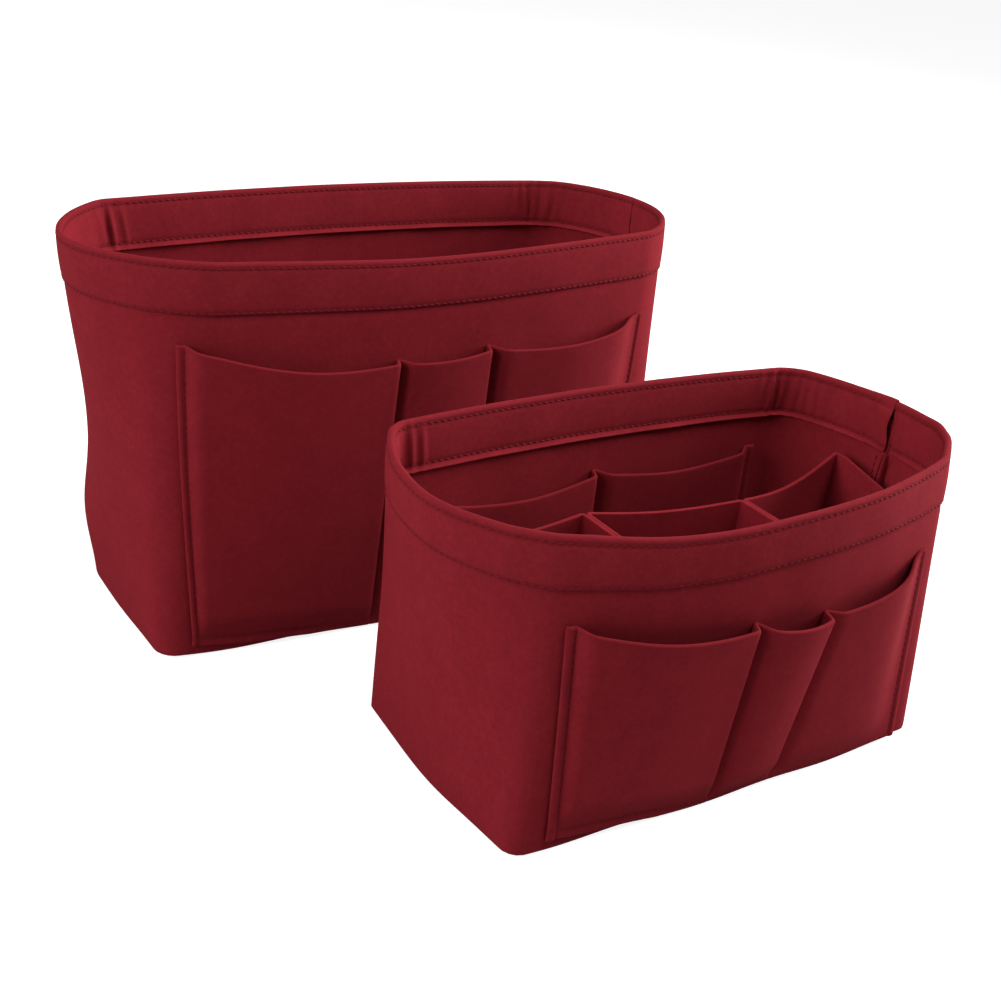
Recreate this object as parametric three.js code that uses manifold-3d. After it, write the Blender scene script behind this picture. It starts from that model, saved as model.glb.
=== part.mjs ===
// A set of two felt bag organizers, a large and a small one, standing side by side.
// Each is cut from sheet felt and sewn: one wall band round a bottom panel, a rim band
// folded over the top edge, pockets on both long walls and a folded divider strip inside.
// Millimetres, +Z up, long axis along X, front towards -Y.
import * as THREE from "three";
import { ParametricGeometry } from "three/addons/geometries/ParametricGeometry.js";
import { mergeVertices } from "three/addons/utils/BufferGeometryUtils.js";
import Module from "manifold-3d";

// Felt, thread and clearances, the same in both organizers.
const WALL_FELT = 3;
const TRIM_FELT = 1.6;
const POCKET_FELT = 2;
const THREAD = 0.7;
const GAP = 0.3;

// Rim band: its height outside, its extra free edge inside and the rows of stitches on it.
const BAND_OUTSIDE = 25;
const BAND_FREE_EDGE = 5;
const BAND_EDGE_FLARE = 2.5;
const TOP_STITCH_DROP = 4;
const LOWER_STITCH_RISE = 1.2;

// Sewn margins of the pocket panels and of the closing seam.
const POCKET_MARGIN = 4;
const POCKET_BOTTOM = 6;
const POCKET_STITCH_RISE = 5;
const STITCH_TOP_DROP = 1.5;
const INNER_POCKET_BOTTOM = 12;
const SEAM_ALLOWANCE = 7;
const BASE_CORNER = 8;

// Folds of the divider strip.
const FOLD_RADIUS = 3;
const FOLD_SPREAD = 3;
const FOLD_CLOSED = 1.4;

// How sharply a pocket bay swells from its seams to its middle.
const BULGE_POWER = 1.5;

// Where stations lie on a quarter of the band, as shares of the half end wall, of the corner
// and of the half long wall.
const END_SHARES = [0, 0.45, 0.85, 1];
const CORNER_SHARES = [1 / 3, 2 / 3, 1];
const LONG_SHARES = [0.13, 0.31, 0.49, 0.66, 0.83];
const WALL_SHARES = [0, 0.2, 0.4, 0.6, 0.8];
const BAY_SHARES = [0, 0.15, 0.32, 0.5, 0.68, 0.85];
const PANEL_SHARES = [0.25, 0.5, 0.75, 1];

// How far to either side the direction of a wall is taken, in u, and how often a place on the
// front wall is found by halving.
const NORMAL_STEP = 0.004;
const HALVINGS = 40;

// Sizes to the middle of the wall felt. Places along a wall are measured from its middle,
// positive towards +X. Pocket mouths are measured down from the rim band's lower edge.
const SMALL = {
  name: "small",
  baseLength: 237,
  baseDepth: 127,
  height: 150,
  rimCornerInset: [3, 8.5, 2],
  rimCorner: [16, 9],
  endBow: 22.5,
  frontBow: 27,
  backBow: 8,
  outerSeams: [-106, -15.5, 31, 97],
  outerSeamFeet: [-98, -15.5, 20, 100],
  mouthDrops: [15, 23, 26, 16],
  outerBulges: [8.5, 9.5, 12],
  outerSags: [5, 2.5, 4.5],
  innerSeams: [-97, 0, 97],
  innerDrops: [18, 19, 18],
  innerBulges: [9, 9],
  innerSag: 6.5,
  dividerFolds: [-40, 45.5],
  dividerLine: [17, 17.5, 2, 23.5],
  dividerDrop: 12,
  dividerSag: 6,
  sideClearance: 0.5,
};
const LARGE = {
  name: "large",
  baseLength: 279,
  baseDepth: 126,
  height: 204,
  rimCornerInset: [5, -1, 10.5],
  rimCorner: [10, 22],
  endBow: 26.5,
  frontBow: 17,
  backBow: 6,
  outerSeams: [-131, -27, 23.5, 120],
  outerSeamFeet: [-120, -30, 24, 119],
  mouthDrops: [14, 25, 24, 18],
  outerBulges: [8.5, 9, 11],
  outerSags: [6, 2.5, 6],
  innerSeams: [-114, 0, 114],
  innerDrops: [20, 21, 20],
  innerBulges: [9, 9],
  innerSag: 7,
  dividerFolds: [-46, 52],
  dividerLine: [12, 13, 2, 15],
  dividerDrop: 16,
  dividerSag: 7,
  sideClearance: 0.5,
};

// Where the large organizer's middle stands from the small one's.
const LARGE_OFFSET = [-52, 201];

const FELT_RED = new THREE.MeshStandardMaterial({ color: 0x7d1f29, roughness: 0.95, metalness: 0 });
const POCKET_RED = new THREE.MeshStandardMaterial({ color: 0x761c26, roughness: 0.95, metalness: 0 });
const TRIM_RED = new THREE.MeshStandardMaterial({ color: 0x85242e, roughness: 0.9, metalness: 0 });
const THREAD_RED = new THREE.MeshStandardMaterial({ color: 0x4f1219, roughness: 0.7, metalness: 0 });

const wasm = await Module();
wasm.setup();

const lerp = THREE.MathUtils.lerp;
const RIM_INSIDE = WALL_FELT / 2 + GAP;
const RIM_OUTSIDE = RIM_INSIDE + TRIM_FELT;
const FLOOR_TOP = WALL_FELT;
const INNER_START = FLOOR_TOP + GAP + THREAD + GAP;

// Heights along the felt: the middle of the fold over the top edge, the lower edge of the rim
// band outside and its free edge inside.
const foldHeight = (size) => size.height - RIM_OUTSIDE;
const bandEdge = (size) => size.height - BAND_OUTSIDE;
const freeEdge = (size) => bandEdge(size) - BAND_FREE_EDGE;

// The wall surface.

// One quarter of a rounded rectangle with bowed sides, from the middle of the end wall
// (f = 0) to the middle of the long wall (f = 1), in the first quadrant.
function quarterPoint(halfLength, halfDepth, radius, endBow, longBow, f) {
  const end = halfDepth - radius;
  const corner = (Math.PI / 2) * radius;
  const long = halfLength - radius;
  const s = f * (end + corner + long);
  let x = halfLength;
  let y = s;
  if (s > end + corner) {
    x = long - (s - end - corner);
    y = halfDepth;
  } else if (s > end) {
    const angle = (s - end) / radius;
    x = long + radius * Math.cos(angle);
    y = end + radius * Math.sin(angle);
  }
  const bowedX = x + endBow * (1 - (y / halfDepth) ** 2) * (x / halfLength) ** 3;
  const bowedY = y + longBow * (1 - (x / halfLength) ** 2) * (y / halfDepth) ** 3;
  return new THREE.Vector2(bowedX, bowedY);
}

// Round the band u runs from 0 to 4: right end, back, left end, front and back again.
function roundTheBand(u, quarter) {
  const turn = THREE.MathUtils.euclideanModulo(u, 4);
  const q = Math.floor(turn);
  const f = turn - q;
  const point = quarter(q % 2 === 0 ? f : 1 - f, q < 2);
  if (q === 1 || q === 2) point.x *= -1;
  if (q > 1) point.y *= -1;
  return point;
}

function baseOutline(size, u) {
  return roundTheBand(u, (f) =>
    quarterPoint(size.baseLength / 2, size.baseDepth / 2, BASE_CORNER, 0, 0, f));
}

function rimOutline(size, u) {
  const [insetX, insetFront, insetBack] = size.rimCornerInset;
  const halfLength = size.baseLength / 2 - insetX;
  return roundTheBand(u, (f, back) =>
    quarterPoint(
      halfLength,
      size.baseDepth / 2 - (back ? insetBack : insetFront),
      size.rimCorner[back ? 1 : 0],
      size.endBow,
      back ? size.backBow : size.frontBow,
      f,
    ));
}

// The wall is a ruled surface between both outlines. It keeps its height along the felt,
// so it stands a little lower where it leans out.
function midWall(size, u, h) {
  const base = baseOutline(size, u);
  const rim = rimOutline(size, u);
  const t = h / size.height;
  const lean = rim.distanceTo(base);
  const z = t * Math.sqrt(size.height ** 2 - lean ** 2);
  const plan = base.lerp(rim, t);
  return new THREE.Vector3(plan.x, plan.y, z);
}

// A point n outside the middle of the wall felt.
function wallPoint(size, u, h, n) {
  const ahead = midWall(size, u + NORMAL_STEP, h);
  const behind = midWall(size, u - NORMAL_STEP, h);
  const out = new THREE.Vector2(ahead.y - behind.y, behind.x - ahead.x).normalize();
  const point = midWall(size, u, h);
  point.x += n * out.x;
  point.y += n * out.y;
  return point;
}

function quarterLength(size) {
  const straight = (size.baseLength + size.baseDepth) / 2 - 2 * BASE_CORNER;
  return straight + (Math.PI / 2) * BASE_CORNER;
}

// Turns a place along the front or back wall into u.
const frontU = (size, s) => 3 + s / quarterLength(size);
const backU = (size, s) => 1 - s / quarterLength(size);

// Stations round the band, closer together at the four corners, over one full turn that
// starts and ends at the closing seam.
function bandStations(size) {
  const length = quarterLength(size);
  const before = (size.baseDepth / 2 - BASE_CORNER) / length;
  const corner = ((Math.PI / 2) * BASE_CORNER) / length;
  const after = before + corner;
  const end = END_SHARES.map((f) => f * before);
  const round = CORNER_SHARES.map((f) => before + f * corner);
  const long = LONG_SHARES.map((f) => lerp(after, 1, f));
  const quarter = [...end, ...round, ...long];
  const stations = [];
  for (let q = 0; q < 4; q += 1) {
    const local = q % 2 === 0 ? quarter : quarter.map((f) => 1 - f).reverse();
    const shift = q % 2 === 0 ? 0 : 1;
    if (shift) local.unshift(0);
    stations.push(...local.slice(0, local.length - shift).map((f) => q + f));
  }
  const half = (GAP / 2) / length;
  stations[0] = half;
  stations.push(4 - half);
  return stations;
}

// Closed sheets.

// A closed solid between two faces of a sheet of felt. face(i, k, side) gives the point at
// station i and row k on side 0 or 1; the ends and edges are closed between the sides.
function sheetGeometry(stations, rows, face, wrap = false) {
  const open = wrap ? 0 : 1;
  const slices = wrap ? stations : stations - 1 + 2 * open;
  const loop = 2 * rows;
  const pick = (i, j) => {
    const k = j < rows ? j : loop - 1 - j;
    const side = j < rows ? 0 : 1;
    const station = THREE.MathUtils.clamp(i - open, 0, stations - 1);
    if (wrap) return face(i % stations, k, side);
    if (station === i - open) return face(station, k, side);
    return face(station, k, 0).lerp(face(station, k, 1), 0.5);
  };
  const surface = new ParametricGeometry(
    (v, u, target) => target.copy(pick(Math.round(u * slices), Math.round(v * loop) % loop)),
    loop,
    slices,
  );
  foldOutwards(surface);
  return closedBody(surface);
}

// Splits each four-sided face along the diagonal that lies farther out from the Z axis, so
// that faces which lie against each other are split alike.
function foldOutwards(geometry) {
  const position = geometry.attributes.position;
  const index = geometry.index.array;
  const reach = (one, other) => Math.hypot(
    position.getX(one) + position.getX(other),
    position.getY(one) + position.getY(other),
  );
  for (let i = 0; i < index.length; i += 6) {
    const [a, b, d] = index.slice(i, i + 3);
    const c = index[i + 4];
    if (reach(a, c) > reach(b, d)) index.set([a, b, c, a, c, d], i);
  }
}

// Merges shared corners, drops empty triangles and turns the faces outwards.
function closedBody(geometry) {
  geometry.deleteAttribute("uv");
  geometry.deleteAttribute("normal");
  const merged = mergeVertices(geometry, 1e-4);
  const index = Array.from(merged.index.array);
  const kept = [];
  const corners = [new THREE.Vector3(), new THREE.Vector3(), new THREE.Vector3()];
  let volume = 0;
  for (let i = 0; i < index.length; i += 3) {
    const [a, b, c] = index.slice(i, i + 3);
    if (a === b || b === c || c === a) continue;
    kept.push(a, b, c);
    [a, b, c].forEach((v, n) => corners[n].fromBufferAttribute(merged.attributes.position, v));
    volume += corners[0].dot(corners[1].clone().cross(corners[2]));
  }
  merged.setIndex(volume > 0 ? kept : kept.reverse());
  merged.computeVertexNormals();
  return merged;
}

function solidOf(geometry) {
  return new wasm.Manifold(new wasm.Mesh({
    numProp: 3,
    vertProperties: Float32Array.from(geometry.attributes.position.array),
    triVerts: Uint32Array.from(geometry.index.array),
  }));
}

function geometryOf(solid) {
  const mesh = solid.getMesh();
  const geometry = new THREE.BufferGeometry();
  geometry.setAttribute("position", new THREE.BufferAttribute(mesh.vertProperties, 3));
  geometry.setIndex(new THREE.BufferAttribute(mesh.triVerts, 1));
  geometry.computeVertexNormals();
  return geometry;
}

function piece(size, name, geometry, material) {
  const mesh = new THREE.Mesh(geometry, material);
  mesh.name = `${size.name}_${name}`;
  return mesh;
}

// Offsets each point of an open line in a plane to its left, with mitred corners.
function offsetLine(points, distance) {
  return points.map((point, i) => {
    const before = points[Math.max(i - 1, 0)];
    const after = points[Math.min(i + 1, points.length - 1)];
    const into = point.clone().sub(before);
    const out = after.clone().sub(point);
    if (i === 0) into.copy(out);
    if (i === points.length - 1) out.copy(into);
    into.normalize();
    out.normalize();
    const middle = into.clone().add(out).normalize();
    const reach = distance / Math.max(middle.dot(out), 0.5);
    return new THREE.Vector2(point.x - middle.y * reach, point.y + middle.x * reach);
  });
}

// The felt pieces.

// The wall band: one strip round the base whose two ends turn inwards at the closing seam.
function wallBand(size) {
  const stations = bandStations(size);
  const rising = WALL_SHARES.map((share) => share * freeEdge(size));
  const heights = [...rising, freeEdge(size), bandEdge(size), foldHeight(size) + GAP / 2];
  const band = sheetGeometry(stations.length, heights.length, (i, k, side) =>
    wallPoint(size, stations[i], heights[k], side ? -WALL_FELT / 2 : WALL_FELT / 2));
  const flapHeights = [INNER_START, freeEdge(size) - GAP];
  const flap = (toward) => sheetGeometry(2, 2, (i, k, side) => {
    const wall = midWall(size, 0, flapHeights[k]);
    const x = wall.x - (i ? WALL_FELT / 2 + SEAM_ALLOWANCE : 0);
    return new THREE.Vector3(x, toward * (GAP / 2 + (side ? WALL_FELT : 0)), wall.z);
  });
  const solid = solidOf(band).add(solidOf(flap(1))).add(solidOf(flap(-1)));
  return piece(size, "wall_band", geometryOf(solid), FELT_RED);
}

// The bottom panel: a flat sheet of felt that fills the foot of the wall band.
function bottomPanel(size) {
  const clearance = WALL_FELT / 2 + GAP;
  const stations = bandStations(size).slice(1, -1);
  const outline = stations.map((u) => {
    const point = wallPoint(size, u, 0, -clearance);
    return new THREE.Vector2(point.x, point.y);
  });
  const sheet = new THREE.ExtrudeGeometry(new THREE.Shape(outline), {
    depth: WALL_FELT,
    bevelEnabled: false,
  });
  return piece(size, "bottom_panel", closedBody(sheet), FELT_RED);
}

// The rim band: a strip folded over the top edge, sewn through all layers. The inside leg
// is longer and its free edge stands off the wall.
function rimBand(size) {
  const stations = bandStations(size);
  const fold = foldHeight(size);
  const arc = [0, Math.PI / 3, (2 * Math.PI) / 3, Math.PI];
  const path = [
    { angle: 0, h: bandEdge(size), flare: 0 },
    ...arc.map((angle) => ({ angle, h: fold, flare: 0 })),
    { angle: Math.PI, h: bandEdge(size), flare: 0 },
    { angle: Math.PI, h: freeEdge(size), flare: BAND_EDGE_FLARE },
  ];
  const band = sheetGeometry(stations.length, path.length, (i, k, side) => {
    const { angle, h, flare } = path[k];
    const radius = side ? RIM_INSIDE : RIM_OUTSIDE;
    const n = radius * Math.cos(angle) - flare;
    return wallPoint(size, stations[i], h + radius * Math.sin(angle), n);
  });
  return piece(size, "rim_band", band, TRIM_RED);
}

// Along a pocket panel p counts the bays, 0 at its first seam and 1 more at each next one.
function inBay(panel, p) {
  const n = Math.min(Math.floor(p), panel.bulges.length - 1);
  return { n, f: p - n };
}

// The place along the wall at p. A seam may slant, so it depends on rise, which is 0 at the
// bottom stitching and 1 at the mouth.
function pocketPlace(panel, p, rise) {
  const { n, f } = inBay(panel, p);
  const foot = lerp(panel.feet[n], panel.feet[n + 1], f);
  const top = lerp(panel.tops[n], panel.tops[n + 1], f);
  return lerp(foot, top, rise);
}

// The height of the mouth, which hangs down between the seams.
function pocketMouth(size, panel, p) {
  const { n, f } = inBay(panel, p);
  const drop = lerp(panel.drops[n], panel.drops[n + 1], f);
  return bandEdge(size) - drop - panel.sags[n] * Math.sin(Math.PI * f);
}

// How far the panel bulges off the wall: not at all at its seams, most at the mouth.
function pocketBulge(panel, p, rise) {
  const { n, f } = inBay(panel, p);
  return panel.bulges[n] * Math.sin(Math.PI * f) ** BULGE_POWER * rise;
}

// Stations along a pocket panel as [p, margin]: its two cut edges, its seams and steps
// within each bay.
function pocketStations(panel) {
  const last = panel.bulges.length;
  const steps = panel.bulges.flatMap((_, n) => BAY_SHARES.map((f) => [n + f, 0]));
  return [[0, -POCKET_MARGIN], ...steps, [last, 0], [last, POCKET_MARGIN]];
}

// One pocket panel, sewn flat along its bottom and drawn in at each seam.
function pocketPanel(size, panel) {
  const stations = pocketStations(panel);
  const rises = [0, 0, ...PANEL_SHARES];
  const stitch = panel.bottom + POCKET_STITCH_RISE;
  const sheet = sheetGeometry(stations.length, rises.length, (i, k, side) => {
    const [p, margin] = stations[i];
    const rise = rises[k];
    const h = k === 0 ? panel.bottom : lerp(stitch, pocketMouth(size, panel, p), rise);
    const bulge = pocketBulge(panel, p, rise);
    const off = WALL_FELT / 2 + GAP + bulge + (side ? 0 : POCKET_FELT);
    const u = panel.placeU(size, pocketPlace(panel, p, rise) + margin);
    return wallPoint(size, u, h, panel.direction * off);
  });
  return piece(size, panel.name, sheet, POCKET_RED);
}

// The divider strip: it runs down the middle of the organizer and is folded to the front
// wall and back twice, so that it makes three standing cells; its ends run to the front too.
function dividerStrip(size) {
  const peak = bandEdge(size) - size.dividerDrop;
  const inside = -(WALL_FELT / 2 + GAP + POCKET_FELT / 2);
  const rows = [0, 1 / 3, 2 / 3, 1];
  const stationRows = rows.map((share) => {
    const h = lerp(INNER_START, peak, share);
    return dividerPath(size, h, share, inside);
  });
  const count = stationRows[0].length;
  const faces = stationRows.map((row) => {
    const line = row.map((station) => station.plan);
    return [offsetLine(line, POCKET_FELT / 2), offsetLine(line, -POCKET_FELT / 2)];
  });
  const strip = sheetGeometry(count, rows.length, (i, k, side) => {
    const plan = faces[k][side][i];
    const top = peak - stationRows[k][i].sag * size.dividerSag;
    return new THREE.Vector3(plan.x, plan.y, lerp(INNER_START, top, rows[k]));
  });
  return piece(size, "divider_strip", strip, POCKET_RED);
}

// The strip's line in plan at height h, from its left end on the front wall to its right one.
function dividerPath(size, h, share, inside) {
  const line = size.dividerLine;
  const spread = lerp(FOLD_CLOSED, FOLD_SPREAD, share);
  const seamReach = WALL_FELT / 2 + SEAM_ALLOWANCE + GAP;
  const sideX = midWall(size, 4, h).x - seamReach - size.sideClearance - POCKET_FELT / 2;
  const path = [];
  const add = (x, y, sag = 0) => path.push({ plan: new THREE.Vector2(x, y), sag });
  const section = (fromX, fromY, toX, toY) => {
    add(fromX, fromY - FOLD_RADIUS);
    add(fromX + FOLD_RADIUS, fromY);
    for (const f of [0.25, 0.5, 0.75]) {
      add(lerp(fromX, toX, f), lerp(fromY, toY, f), Math.sin(Math.PI * f));
    }
    add(toX - FOLD_RADIUS, toY);
    add(toX, toY - FOLD_RADIUS);
  };
  const frontY = (x) => frontWallAt(size, x, h, inside);
  const sideEndY = frontWallAt(size, sideX + POCKET_FELT / 2, h, inside) + POCKET_FELT / 2;
  const left = { x: -sideX, y: line[0] };
  const right = { x: sideX, y: line[3] };
  const folds = size.dividerFolds.map((x, n) => ({ x, y: line[n + 1] }));
  add(left.x, sideEndY);
  let from = left;
  for (const fold of folds) {
    section(from.x, from.y, fold.x - spread, fold.y);
    add(fold.x - FOLD_CLOSED, frontY(fold.x));
    add(fold.x + FOLD_CLOSED, frontY(fold.x));
    from = { x: fold.x + spread, y: fold.y };
  }
  section(from.x, from.y, right.x, right.y);
  add(right.x, sideEndY);
  return path;
}

// The y of the line off outside the front wall where it passes x, found by halving.
function frontWallAt(size, x, h, off) {
  let low = 2;
  let high = 4;
  for (let n = 0; n < HALVINGS; n += 1) {
    const middle = (low + high) / 2;
    if (wallPoint(size, middle, h, off).x < x) low = middle;
    else high = middle;
  }
  return wallPoint(size, (low + high) / 2, h, off).y;
}

// The sewing threads.

// A thread lying on the wall n outside the middle of its felt, along places [u, h].
function wallThread(size, name, places, n) {
  const scale = quarterLength(size);
  const line = places.map(([u, h]) => new THREE.Vector2(u * scale, h));
  const edges = [offsetLine(line, THREAD / 2), offsetLine(line, -THREAD / 2)];
  const thread = sheetGeometry(places.length, 2, (i, k, side) => {
    const place = edges[k][i];
    return wallPoint(size, place.x / scale, place.y, n + (side ? -THREAD / 2 : THREAD / 2));
  });
  return piece(size, name, thread, THREAD_RED);
}

function rimThreads(size) {
  const stations = bandStations(size);
  const off = RIM_OUTSIDE + GAP + THREAD / 2;
  const topRow = size.height - TOP_STITCH_DROP;
  const lowerRow = bandEdge(size) + LOWER_STITCH_RISE;
  const row = (name, h, n) => wallThread(size, name, stations.map((u) => [u, h]), n);
  return [
    row("rim_top_stitch_outside", topRow, off),
    row("rim_top_stitch_inside", topRow, -off),
    row("rim_lower_stitch_outside", lowerRow, off),
    row("rim_lower_stitch_inside", lowerRow, -off),
  ];
}

// The stitching of one pocket panel: a line down one side, along the bottom and up the other,
// and one line up each seam between two bays.
function pocketThreads(size, panel) {
  const off = WALL_FELT / 2 + GAP + POCKET_FELT + GAP + THREAD / 2;
  const stitch = panel.bottom + POCKET_STITCH_RISE;
  const at = (p, h) => {
    const rise = (h - stitch) / (pocketMouth(size, panel, p) - stitch);
    return [panel.placeU(size, pocketPlace(panel, p, rise)), h];
  };
  const upright = (p, low) => {
    const high = pocketMouth(size, panel, p) - STITCH_TOP_DROP;
    return [0, ...PANEL_SHARES].map((share) => at(p, lerp(low, high, share)));
  };
  const thread = (word, places) =>
    wallThread(size, `${panel.name}_${word}`, places, panel.direction * off);
  const last = panel.bulges.length;
  const bottomPlaces = pocketStations(panel).slice(2, -2).map(([p]) => at(p, stitch));
  const outline = [...upright(0, stitch).reverse(), ...bottomPlaces, ...upright(last, stitch)];
  const threads = [thread("edge_stitch", outline)];
  for (let n = 1; n < last; n += 1) {
    threads.push(thread(`seam_${n}`, upright(n, stitch + THREAD + GAP)));
  }
  return threads;
}

// The thread that joins the bottom panel to the wall band, inside at the foot of the wall.
function baseSeam(size) {
  const stations = bandStations(size);
  const n = -(WALL_FELT / 2 + GAP + THREAD / 2);
  const h = FLOOR_TOP + GAP + THREAD / 2;
  return wallThread(size, "base_seam", stations.map((u) => [u, h]), n);
}

// The thread through both turned-in ends of the wall band.
function closingSeam(size) {
  const heights = [INNER_START + THREAD, freeEdge(size) - THREAD];
  const y = GAP / 2 + WALL_FELT + GAP;
  const depth = WALL_FELT / 2 + (2 * SEAM_ALLOWANCE) / 3;
  const thread = sheetGeometry(2, 2, (i, k, side) => {
    const wall = midWall(size, 0, heights[i]);
    return new THREE.Vector3(wall.x - depth + k * THREAD, y + side * THREAD, wall.z);
  });
  return piece(size, "closing_seam", thread, THREAD_RED);
}

// The assembly.

function organizer(size) {
  const outer = {
    direction: 1,
    bottom: POCKET_BOTTOM,
    tops: size.outerSeams,
    feet: size.outerSeamFeet,
    drops: size.mouthDrops,
    bulges: size.outerBulges,
    sags: size.outerSags,
  };
  const inner = {
    direction: -1,
    bottom: INNER_POCKET_BOTTOM,
    tops: size.innerSeams,
    feet: size.innerSeams,
    drops: size.innerDrops,
    bulges: size.innerBulges,
    sags: size.innerBulges.map(() => size.innerSag),
  };
  const group = new THREE.Group();
  group.add(wallBand(size), bottomPanel(size), rimBand(size), dividerStrip(size));
  group.add(...rimThreads(size), baseSeam(size), closingSeam(size));
  for (const panel of [
    { ...outer, name: "front_pocket", placeU: frontU },
    { ...outer, name: "back_pocket", placeU: backU },
    { ...inner, name: "inner_pocket", placeU: backU },
  ]) {
    group.add(pocketPanel(size, panel), ...pocketThreads(size, panel));
  }
  return group;
}

const set = new THREE.Group();
const small = organizer(SMALL);
const large = organizer(LARGE);
large.position.set(LARGE_OFFSET[0], LARGE_OFFSET[1], 0);
set.add(small, large);

// The set stands with the middle of its bounding box over the origin.
const bounds = new THREE.Box3().setFromObject(set);
const middle = bounds.getCenter(new THREE.Vector3());
set.position.set(-middle.x, -middle.y, -bounds.min.z);

export default set;
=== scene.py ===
# %% [markdown]
# # Two felt organizers
#
# The object is a set of two open boxes of dark red felt that stand in a bag and hold makeup. Each
# one is cut from flat felt and sewn: a wall band round a bottom panel, a binding folded over the
# rim, pocket panels on the walls and one folded strip inside that makes the cells. Felt hardly
# stretches, so nearly everything here is a flat strip that was bent. This lesson builds each piece
# as such a sheet, from two measures along it.

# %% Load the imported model
import math

import bpy
import numpy as np
from mathutils import Matrix, Vector


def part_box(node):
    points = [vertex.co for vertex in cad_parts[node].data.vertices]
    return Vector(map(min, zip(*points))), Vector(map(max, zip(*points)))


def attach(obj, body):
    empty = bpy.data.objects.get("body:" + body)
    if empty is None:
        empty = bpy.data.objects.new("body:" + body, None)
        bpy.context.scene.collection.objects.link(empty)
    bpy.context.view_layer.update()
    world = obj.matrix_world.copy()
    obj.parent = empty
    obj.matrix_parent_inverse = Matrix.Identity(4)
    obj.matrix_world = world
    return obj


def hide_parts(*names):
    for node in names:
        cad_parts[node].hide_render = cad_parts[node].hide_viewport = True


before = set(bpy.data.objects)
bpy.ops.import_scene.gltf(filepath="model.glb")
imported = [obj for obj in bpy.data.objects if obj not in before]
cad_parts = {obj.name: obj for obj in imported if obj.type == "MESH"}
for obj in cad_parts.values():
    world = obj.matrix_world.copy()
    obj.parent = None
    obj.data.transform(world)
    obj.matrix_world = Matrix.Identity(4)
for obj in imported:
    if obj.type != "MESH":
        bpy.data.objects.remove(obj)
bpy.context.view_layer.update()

MM = 0.001


def base_centre(name):
    """Middle of an organizer's bottom panel in plan, in metres, read from the frame."""
    low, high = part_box(f"{name}_bottom_panel")
    return (np.array(low) + high) / 2 * (1, 1, 0)


def new_object(name, data):
    """An object with its data, in the scene."""
    item = bpy.data.objects.new(name, data)
    bpy.context.scene.collection.objects.link(item)
    return item


print("pieces in the frame:", len(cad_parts))

# %% [markdown]
# ## The camera
#
# The photograph was taken from the front left and above, slightly tilted. A camera can be aimed with
# a constraint, but its place and three angles were fitted to the outlines of both organizers, so they
# are given as they are, measured from the foot of the small one.

# %% Camera
CAMERA_FROM_SMALL = (-0.4045, -0.4507, 0.3858)
CAMERA_TURN = -34.36
CAMERA_DOWN = 24.73
CAMERA_ROLL = 5.79
FOCAL_PIXELS = 1443.4
IMAGE_PIXELS = 1001
SENSOR = 36.0

camera = new_object("camera", bpy.data.cameras.new("camera"))
camera.data.sensor_width = SENSOR
camera.data.lens = FOCAL_PIXELS / IMAGE_PIXELS * SENSOR
turn = Matrix.Rotation(math.radians(CAMERA_TURN), 4, "Z")
tilt = Matrix.Rotation(math.radians(90 - CAMERA_DOWN), 4, "X")
roll = Matrix.Rotation(math.radians(CAMERA_ROLL), 4, "Z")
place = Matrix.Translation(Vector(base_centre("small")) + Vector(CAMERA_FROM_SMALL))
camera.matrix_world = place @ turn @ tilt @ roll
bpy.context.scene.camera = camera
print("lens", round(camera.data.lens, 2), "mm")

# %% [markdown]
# ## Colours and nodes
#
# Colours are picked as sRGB hex values, as a dyer's card would give them, but shaders work with
# linear light, so one function converts them. A second one adds a node and wires it up, which keeps
# the materials short enough to read.

# %% Colour and node helpers
def linear(code):
    """An sRGB hex colour as linear RGBA: each channel above 0.04 is ((c + 0.055) / 1.055) ^ 2.4."""
    channels = [int(code[k:k + 2], 16) / 255 for k in (1, 3, 5)]
    lit = [c / 12.92 if c <= 0.04045 else ((c + 0.055) / 1.055) ** 2.4 for c in channels]
    return (*lit, 1.0)


def add(tree, kind, inputs=None, **settings):
    """Adds a shader node of one kind with its settings; each input is a value or an output."""
    node = tree.nodes.new("ShaderNode" + kind)
    for key, value in settings.items():
        setattr(node, key, value)
    for key, value in (inputs or {}).items():
        if isinstance(value, bpy.types.NodeSocket):
            tree.links.new(value, node.inputs[key])
        else:
            node.inputs[key].default_value = value
    return node


def empty_material(name):
    """A new material with a bare node tree."""
    material = bpy.data.materials.new(name)
    material.use_nodes = True
    material.node_tree.nodes.clear()
    return material, material.node_tree


def matt_surface(tree, colour, height, strength, relief, inputs):
    """How a fibrous material ends: its colour, a relief with its height, strength and depth, hardly
    any gloss, and further inputs of the shader."""
    bump = add(tree, "Bump",
               {"Height": height, "Strength": strength, "Distance": relief})
    shader = add(tree, "BsdfPrincipled",
                 {"Base Color": colour.outputs[2], "Normal": bump.outputs[0],
                  "Specular IOR Level": 0.05, **inputs})
    add(tree, "OutputMaterial", {"Surface": shader.outputs[0]})


# %% [markdown]
# ## Felt
#
# Needle-punched polyester felt is a mat of short fibres dyed in one colour, without weave or gloss.
# The eye sees a velvety edge where fibres catch the light, which sheen does, a fine speckle, and
# faint clouds where the mat is thicker. Fibres are about 0.03 mm across, too fine to draw, so the
# speckle is 0.5 to 1 mm. Where the felt is sewn down, it is pressed flat and drawn darker, partly as
# painted shade in the seam's groove; the binding's crown and the pockets' mouths are drawn darker as
# painted shade. Each sheet says this in an attribute of its own. A painted texture would need the
# flat cut of each piece.

# %% Felt materials
FIBRE_TUFT = 0.55 * MM
PILLING = 2.6 * MM
CLOUD = 14 * MM
FELT_RELIEF = 0.22 * MM
PILLING_SHARE = 0.45
CLOUD_SHARE = 0.2


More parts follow.
